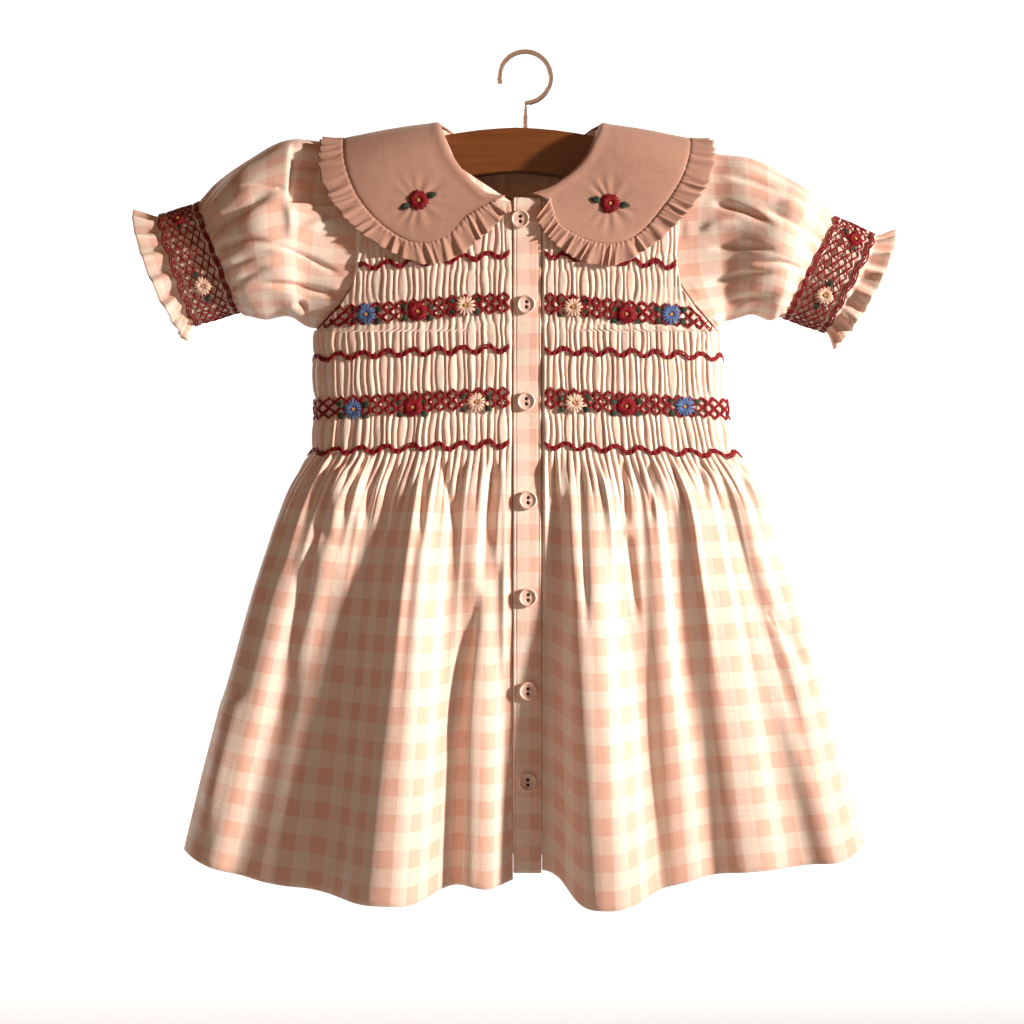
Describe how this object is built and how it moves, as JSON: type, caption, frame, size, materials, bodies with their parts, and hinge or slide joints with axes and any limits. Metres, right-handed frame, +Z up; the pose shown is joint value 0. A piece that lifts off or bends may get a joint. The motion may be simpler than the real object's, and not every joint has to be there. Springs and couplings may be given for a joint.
{
  "type": "child's smocked dress on a wooden hanger",
  "caption": "Child's short-sleeved dress with smocked bodice, gathered skirt, button front and frilled round collar, hanging on a wooden hanger",
  "frame": {"origin": "inside top of the hanger hook, where a rail carries it", "axes": "+Z up, -Y out of the front of the dress, +X to the right seen from the front"},
  "size_m": [0.4581, 0.1012, 0.506],
  "materials": {
    "gingham": "soft woven cotton, pink and cream gingham",
    "plain_pink": "soft plain dusty pink cotton",
    "button": "pearly pale pink",
    "thread_blue": "stranded blue thread",
    "thread_red": "stranded deep red thread",
    "thread_cream": "stranded cream pink thread",
    "label": "bare woven tape",
    "wood": "waxed orange brown wood",
    "steel": "plated wire"
  },
  "bodies": {
    "root": {"front_left": "gingham", "front_right": "gingham", "back": "gingham", "placket": "gingham", "sleeve_left": "gingham", "sleeve_right": "gingham", "collar_left": "plain_pink", "collar_right": "plain_pink", "collar_frill_left": "plain_pink", "collar_frill_right": "plain_pink", "button_1": "button", "button_2": "button", "button_3": "button", "button_4": "button", "button_5": "button", "button_6": "button", "button_7": "button", "flower_blue_upper_left": "thread_blue", "flower_blue_upper_right": "thread_blue", "flower_blue_lower_left": "thread_blue", "flower_blue_lower_right": "thread_blue", "flower_red_upper_left": "thread_red", "flower_red_upper_right": "thread_red", "flower_red_lower_left": "thread_red", "flower_red_lower_right": "thread_red", "flower_cream_upper_left": "thread_cream", "flower_cream_upper_right": "thread_cream", "flower_cream_lower_left": "thread_cream", "flower_cream_lower_right": "thread_cream", "flower_red_collar_left": "thread_red", "flower_red_collar_right": "thread_red", "neck_label": "label", "hanger_bar": "wood", "hanger_hook": "steel"}
  },
  "joints": []
}
